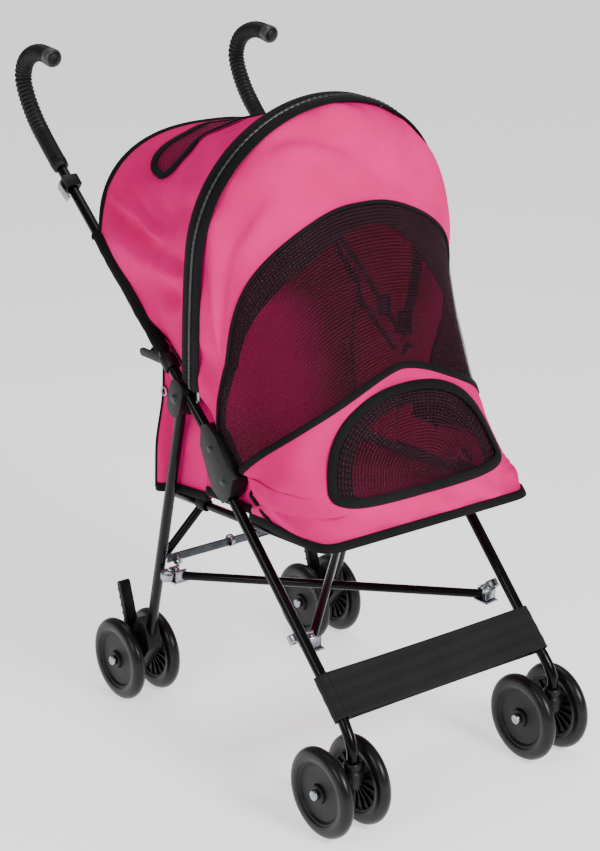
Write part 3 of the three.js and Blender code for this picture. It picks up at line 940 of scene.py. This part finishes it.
def add_hood():
    cabin_sheet("hood", hood_grid(), "pink_fabric", "stretched", BOTH_TUBES, swap="cabin_shell")
    for name, side in SIDES:
        cabin_sheet(f"side_panel_{name}", side_wall_grid(side), "pink_fabric", "hung",
                    [f"handle_tube_{name}"])
        points = [(side * (hood_foot_x(y) + 0.001), y, hood_foot_z(y))
                  for y in steps(40, ARCH_Y, REAR_Y)]
        cabin_piece(strap(f"hood_edge_binding_{name}", points, [(side, 0, 0)] * 40, 0.012, 0.003))
        sleeve = [(side * leg_x(tube_z(y)), y, tube_z(y))
                  for y in steps(60, COLLAR_Y + 0.004, REAR_Y + 0.008)]
        radii = [0.0102 + 0.0012 * noise.noise(Vector(p) * 60) for p in sleeve]
        radii[0], radii[-1] = 0.0112, 0.0118
        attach(pipe(f"tube_sleeve_{name}", sleeve, radii, sides=20), SIDE_BODY[side])
        corner = [(side * rear_corner_x(z), rear_wall_y(z) + 0.001, z)
                  for z in steps(20, hem_z(REAR_WALL_Y), REAR_TURN[1])]
        cabin_piece(pipe(f"rear_corner_piping_{name}", corner, 0.0026, sides=10))
    cabin_sheet("rear_panel", rear_grid(hem_z(REAR_WALL_Y), REAR_TOP - 0.002, 60), "pink_fabric",
                "hung", ["hood"])
    points = [rear_arch(t) + (0, 0.001, 0) for t in steps(90)]
    cabin_piece(pipe("rear_arch_binding", points, 0.0042, sides=10))
    add_back_window()
    add_roof_window()
    seam = [hood_point(t, 0.13) for t in steps(120)]
    cabin_piece(pipe("hood_seam", seam, 0.0013, "pink_fabric", 8))


def bound_window(name, place, outward, half_u, half_v, count):
    """A round-cornered net let into a panel, with tape round it. place maps u, v to a point."""
    outline = [(half_u * math.copysign(abs(math.cos(a)) ** 0.6, math.cos(a)),
                half_v * math.copysign(abs(math.sin(a)) ** 0.6, math.sin(a)))
               for a in panel_turns(count)]
    grid = [[place(u * r, v * r) + outward(u * r, v * r) * 0.0036 for u, v in outline]
            for r in steps(18, 0.04, 1.0)]
    net = sheet_piece(name, grid, "mesh_fabric", NET, wrap=True)
    points = [place(u, v) + outward(u, v) * 0.0040 for u, v in outline]
    normals = [outward(u, v) for u, v in outline]
    cabin_piece(net)
    cabin_piece(strap(f"{name}_tape", points, normals, 0.011, 0.0028, closed=True))


def add_roof_window():
    def place(u, v):
        return hood_point(u, 0.64 + v)

    def outward(u, v):
        normal = np.cross(place(u + 0.01, v) - place(u - 0.01, v),
                          place(u, v + 0.01) - place(u, v - 0.01))
        normal = unit(normal)
        return normal if normal[2] > 0 else -normal

    bound_window("roof_window", place, outward, 0.42, 0.15, 96)


def add_back_window():
    def place(u, v):
        return np.array([u, rear_wall_y(0.50 + v) + 0.006, 0.50 + v])

    def outward(*_):
        return np.array([0.0, 1.0, REAR_WALL_LEAN])

    bound_window("back_window", place, outward, 0.115, 0.07, 72)


def add_leashes():
    """Two leash straps that hang from the roof with a clip on each, and a belt in front."""
    right = [hood_point(0.10, 0.42) - (0, 0, 0.006), (0.044, 0.000, 0.790),
             (0.051, -0.045, 0.733), (0.085, -0.060, 0.677), (0.115, -0.063, 0.627),
             (0.140, -0.063, 0.592), (0.157, -0.063, 0.574)]
    left = [hood_point(0.42, 0.30) - (0.004, 0, 0.006), (0.162, -0.070, 0.790),
            (0.166, -0.085, 0.735), (0.165, -0.085, 0.675), (0.158, -0.080, 0.618),
            (0.147, -0.068, 0.572)]
    belt = [(-0.140, -0.232, 0.470), (-0.108, -0.239, 0.488), (-0.059, -0.238, 0.506),
            (0.011, -0.238, 0.469), (0.080, -0.236, 0.436), (0.130, -0.232, 0.414),
            (0.152, -0.230, 0.404)]
    facing = (-0.5, -0.86, 0)
    for name, route, width, body in (("leash_right", right, 0.008, "main_frame"),
                                     ("leash_left", left, 0.016, "main_frame"),
                                     ("belt", belt, 0.014, "front_canopy")):
        points = smooth_line(route, 8)
        cabin_piece(strap(f"inner_{name}", points, [facing] * len(points), width, 0.002,
                          "webbing"), body)
    for name, middle, half in (("right", (0.122, -0.065, 0.620), 0.015),
                               ("left", (0.153, -0.074, 0.590), 0.017)):
        points = [np.array(middle) + (0, 0, h) for h in steps(8, -half, half)]
        cabin_piece(strap(f"leash_clip_{name}", points, [facing] * 8, 0.020, 0.008, "plastic"))


def add_cabin_base():
    """The floor, and the bound hem behind the front canopy."""
    rows = []
    for y in steps(40, FRONT_Y + 0.005, REAR_WALL_Y - 0.002):
        z = hem_z(y) + 0.0035
        half = TUCKED_X - 0.0005 + (HEM_X - 0.0035 - TUCKED_X) * ease((-0.150 - y) / 0.012)
        half *= 1 - 0.07 * ease((FRONT_Y + 0.032 - y) / 0.028)
        rows.append([(u * half, y, z - 0.004 * (1 - u * u)) for u in steps(20)])
    cabin_sheet("cabin_floor", rows, "lining", "laid", ["seat_rail_right", "seat_rail_left"],
                thickness=0.003)
    corner_x = rear_corner_x(0.36)
    points, normals = [], []
    for side, ys in ((-1, steps(20, ARCH_Y, REAR_WALL_Y)), (1, steps(20, REAR_WALL_Y, ARCH_Y))):
        for y in ys:
            flare = (corner_x - TUCKED_X) * ease((y - 0.056) / 0.02)
            points.append((side * (TUCKED_X + 0.001 + flare), y, hem_z(y)))
            normals.append((side, 0, 0))
    rear = [(u * corner_x, REAR_WALL_Y + 0.0015, hem_z(REAR_WALL_Y)) for u in steps(12)[1:-1]]
    points[20:20] = rear
    normals[20:20] = [(0, 1, 0)] * len(rear)
    cabin_piece(strap("rear_hem_binding", points, normals, 0.013, 0.0044))


# ---- wheels
def wheel_profile(half):
    """A round-shouldered tyre section, from its bead over the tread and back."""
    rim, radius = 0.0455, 0.064
    points = [(rim, -half * 0.86), (rim + 0.0035, -half * 0.99), (rim + 0.009, -half),
              (rim + 0.0145, -half * 0.80), (radius - 0.0009, -half * 0.40), (radius, 0)]
    points += [(r, -x) for r, x in points[-2::-1]]
    return [tuple(p) for p in smooth_line(points, 4)]


HUB_PROFILE = [(0.0056, -0.0098), (0.0115, -0.0098), (0.0135, -0.0085), (0.0145, -0.0052),
               (0.0290, -0.0036), (0.0392, -0.0042), (0.0425, -0.0074), (0.0456, -0.0078)]
RIB_FACES = [(0, 1, 3, 2), (4, 6, 7, 5), (0, 4, 5, 1), (2, 3, 7, 6), (1, 5, 7, 3), (0, 2, 6, 4)]


def add_wheel(name):
    low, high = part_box(f"tyre_{name}")
    centre = (low + high) / 2
    profile = wheel_profile((high.x - low.x) / 2)
    tyre = turned(f"tyre_tread_{name}", profile, centre, (1, 0, 0), "tyre", 96)
    profile = HUB_PROFILE + [(r, -x) for r, x in HUB_PROFILE[::-1]]
    hub = turned(f"hub_disc_{name}", profile, centre, (1, 0, 0), "hub", 72)
    crease(hub, 28)
    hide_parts(f"tyre_{name}")
    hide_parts(f"hub_{name}")
    corners = (*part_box(f"tyre_{name[:-1]}a"), *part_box(f"tyre_{name[:-1]}b"))
    inner = 1 if sum(corner.x for corner in corners) / 4 > centre.x else -1
    vertices, faces = [], []
    for turn in panel_turns(16):
        along = Vector((0, math.cos(turn), math.sin(turn)))
        across = Vector((0, -math.sin(turn), math.cos(turn)))
        base = len(vertices)
        vertices += [centre + along * r + across * w + Vector((inner * h, 0, 0))
                     for r in (0.0140, 0.0425) for w in (-0.0009, 0.0009) for h in (0.002, 0.0068)]
        faces += [tuple(base + i for i in face[::inner]) for face in RIB_FACES]
    ribs = add_piece(f"hub_ribs_{name}", vertices, faces, "hub")
    crease(ribs, 35)
    for piece in (tyre, hub, ribs):
        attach(piece, f"wheel_{name}")


def add_wheels():
    for end in ("front", "rear"):
        for side, _ in SIDES:
            for pair in ("a", "b"):
                add_wheel(f"{end}_{side}_{pair}")


# ---- grips
GRIP_ROUTE = [(0.310, 0.8036), (0.344, 0.833), (0.375, 0.864), (0.396, 0.896), (0.403, 0.922),
              (0.393, 0.945), (0.372, 0.959), (0.344, 0.965), (0.310, 0.961)]
GRIP_PLAIN = 0.062  # length of the smooth foam below the ribs
GRIP_PITCH = 0.0068
CAP_PROFILE = [(0.0135, -0.010), (0.0138, 0.001), (0.0125, 0.004), (0.0085, 0.0052),
               (0.0001, 0.0056)]
COLLAR_PROFILE = [(0.0095, -0.008), (0.0118, -0.006), (0.0128, 0.004), (0.0125, 0.010)]


def add_grip(name, side):
    line = smooth_line([(side * leg_x(z), y, z) for y, z in GRIP_ROUTE], 40)
    run = np.concatenate([[0], np.cumsum(np.linalg.norm(np.diff(line, axis=0), axis=1))])
    even = np.linspace(0, run[-1], 420)
    line = np.stack([np.interp(even, run, line[:, k]) for k in range(3)], axis=1)
    radii = []
    for s in even:
        wave = 0.5 + 0.5 * math.cos(2 * math.pi * (s - GRIP_PLAIN) / GRIP_PITCH)
        plain = s < GRIP_PLAIN or s > run[-1] - 0.012
        radii.append(0.0124 if plain else 0.0113 + 0.0017 * wave ** 0.6)
    foam = pipe(f"grip_foam_{name}", line, radii, "foam", 28)
    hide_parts(f"grip_{name}")
    end_axis = line[-1] - line[-4]
    end_axis = unit(end_axis)
    cap = turned(f"grip_cap_{name}", CAP_PROFILE, line[-1] - end_axis * 0.001, end_axis, "cap",
                 32, closed=False)
    collar = turned(f"grip_collar_{name}", COLLAR_PROFILE, line[2], line[8] - line[0], "foam",
                    32, closed=False)
    for piece in (foam, cap, collar):
        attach(piece, SIDE_BODY[side])


# ---- footrest band
def add_footrest():
    """A band of ribbed cloth sewn round both front legs."""
    low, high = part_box("footrest")
    width = math.hypot(high.y - low.y, high.z - low.z) - 0.003
    down = Vector((0, -1, -1)).normalized()
    out = Vector((0, -1, 1)).normalized()
    leg_gap = 0.1785
    wrap = 0.0112
    leg = (low + high) / 2 - out * 0.0104

    def cloth_over(name, section, wrapped):
        grid = [[tuple(leg + Vector((x, 0, 0)) + out * (h + 0.0004 * math.sin(v * 21 + x * 9))
                       + down * (v * width)) for x, h in section] for v in steps(26, -0.5, 0.5)]
        return sheet_piece(name, grid, "footband", 0.0016, wrap=wrapped)

    for name, face, sag in (("footrest_band", 1, 0.006), ("footrest_lining", -1, 0.004)):
        section = [(face * x, face * (wrap - sag * (1 - (x / leg_gap) ** 2)))
                   for x in steps(40, -leg_gap, leg_gap)]
        band = cloth_over(name, section, False)
        if face > 0:
            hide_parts("footrest")
        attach(band, "main_frame")
        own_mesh(band)
    for name, side in SIDES:
        turns = [math.radians(a) for a in range(0, 360, 10)]
        section = [(side * leg_gap + wrap * math.sin(a), wrap * math.cos(a)) for a in turns]
        sleeve = cloth_over(f"footrest_sleeve_{name}", section, True)
        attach(sleeve, SIDE_BODY[side])


# ---- small hardware
def add_bolt(name, place, axis, radius, height, body, material="zinc"):
    """A domed bolt or rivet head on a washer."""
    profile = [(radius * 1.25, -height * 0.2), (radius * 1.3, 0), (radius * 1.25, height * 0.18),
               (radius, height * 0.22), (radius * 0.96, height * 0.6),
               (radius * 0.75, height * 0.86), (radius * 0.4, height)]
    piece = turned(name, profile, place, axis, material, 24, closed=False)
    crease(piece, 40)
    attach(piece, body)


def add_clevis(name, side, y, z, body):
    """Two upright plates either side of a brace's end, with the bolt that holds it."""
    for k, out in (("near", -1), ("far", 1)):
        points = [(side * 0.1585, y + out * 0.0092, z + h) for h in steps(6, 0.0005, 0.0185)]
        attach(strap(f"clevis_{name}_{k}", points, [(0, out, 0)] * 6, 0.019, 0.0016, "zinc"),
                body)
    add_bolt(f"clevis_bolt_{name}", (side * 0.160, y, z + 0.0148), (0, 0, 1), 0.0048, 0.0045, body)


def add_clamp(name, side, y, z, along, body):
    """A zinc band round a leg."""
    profile = [(0.0081, -0.006), (0.0093, -0.006), (0.0096, -0.004), (0.0096, 0.004),
               (0.0093, 0.006), (0.0081, 0.006)]
    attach(turned(f"clamp_{name}", profile, (side * leg_x(z), y, z), along, "zinc", 32), body)


EYELET_PROFILE = [(0.0042, -0.0005), (0.0075, -0.0005), (0.008, 0.0008), (0.0062, 0.0022),
                  (0.0042, 0.0010)]
RING_PROFILE = [(0.0085, -0.003), (0.0095, -0.003), (0.0095, 0.003), (0.0085, 0.003)]


def add_hardware():
    for name, side in SIDES:
        leg = SIDE_BODY[side]

        def outer_x(node_name):
            low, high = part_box(node_name)
            return low.x if side < 0 else high.x

        for end, body, along, climb in (("front", leg, (0, 0.168, 0.1985), 0.846),
                                        ("rear", f"rear_leg_{name}", (0, -0.07, 0.305), -0.23)):
            low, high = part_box(f"{end}_bracket_{name}")
            y, z = (low.y + high.y) / 2, high.z
            add_clevis(f"{end}_{name}", side, y, z, body)
            add_clamp(f"{end}_{name}", side, y + 0.013 * climb, z + 0.013, along, body)
        add_bolt(f"joint_rivet_{name}", (outer_x(f"side_joint_{name}"), 0.004, 0.523),
                 (side, 0, 0), 0.0062, 0.0035, leg, "steel")
        housing = f"lock_housing_{name}"
        low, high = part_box(housing)
        for k, share in (("low", 0.30), ("high", 0.68)):
            place = (outer_x(housing), low.y + (high.y - low.y) * share,
                     low.z + (high.z - low.z) * share)
            add_bolt(f"lock_rivet_{name}_{k}", place, (side, 0, 0), 0.0045, 0.003, leg, "steel")
        cabin_piece(turned(f"side_eyelet_{name}", EYELET_PROFILE, (side * 0.1735, 0.070, 0.512),
                           (side, 0, 0), "zinc", 32))
        low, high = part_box(f"lock_link_{name}")
        outer = outer_x(f"lock_link_{name}")
        for k, share in (("outer", 0.10), ("inner", 0.70)):
            x = outer + ((high.x + low.x) - 2 * outer) * share
            z = low.z + (high.z - low.z) * (0.18 + 0.64 * share)
            ring = turned(f"link_ring_{name}_{k}", RING_PROFILE, (x, (low.y + high.y) / 2, z),
                          (1, 0, 0.06), "zinc", 24)
            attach(ring, f"lock_link_{name}")
        normals = [(math.cos(a), 0, math.sin(a)) for a in panel_turns(24)]
        loop = [(side * 0.160 + 0.0085 * x, -0.005, 0.3590 + 0.0085 * z) for x, _, z in normals]
        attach(strap(f"rail_loop_{name}", loop, normals, 0.020, 0.002, "webbing", closed=True),
                leg)


# ---- finish on the CAD nodes
def soft_edges():
    """A node tree that welds a part's seams and shades its rounded faces smooth."""
    tree = bpy.data.node_groups.new("soft_edges", "GeometryNodeTree")
    for way in ("INPUT", "OUTPUT"):
        tree.interface.new_socket("Geometry", in_out=way, socket_type="NodeSocketGeometry")
    new, join = tree.nodes.new, tree.links.new
    inlet, outlet = new("NodeGroupInput"), new("NodeGroupOutput")
    weld = new("GeometryNodeMergeByDistance")
    weld.inputs["Distance"].default_value = WELD
    faces, edges = new("GeometryNodeSetShadeSmooth"), new("GeometryNodeSetShadeSmooth")
    faces.domain = "FACE"
    edges.domain = "EDGE"
    edges.inputs["Shade Smooth"].default_value = False
    angle = new("GeometryNodeInputMeshEdgeAngle")
    sharp = new("FunctionNodeCompare")
    sharp.data_type = "FLOAT"
    sharp.operation = "GREATER_THAN"
    sharp.inputs["B"].default_value = math.radians(38)
    join(inlet.outputs[0], weld.inputs["Geometry"])
    join(weld.outputs["Geometry"], faces.inputs["Geometry"])
    join(faces.outputs["Geometry"], edges.inputs["Geometry"])
    join(angle.outputs["Unsigned Angle"], sharp.inputs["A"])
    join(sharp.outputs["Result"], edges.inputs["Selection"])
    join(edges.outputs["Geometry"], outlet.inputs[0])
    return tree


def finish_cad_nodes():
    tree = soft_edges()
    slots = {row["node"]: row["material_slot"] for row in frame["record"]["subparts"]}
    for name, part in frame["nodes"].items():
        part.data.materials.clear()
        part.data.materials.append(MATERIALS[slots.get(name, "plastic")])
        weld = part.modifiers.new("weld", "WELD")
        weld.merge_threshold = WELD
        round_off = part.modifiers.new("round_off", "BEVEL")
        round_off.width = 0.0006
        round_off.segments = 2
        round_off.angle_limit = math.radians(40)
        soft = part.modifiers.new("soft_edges", "NODES")
        soft.node_group = tree


add_camera()
MATERIALS.update(make_materials())
add_studio()
finish_cad_nodes()
add_front_canopy()
add_window_facings()
add_zip()
add_hood()
add_leashes()
add_cabin_base()
add_wheels()
add_grip("right", -1)
add_grip("left", 1)
add_footrest()
add_hardware()
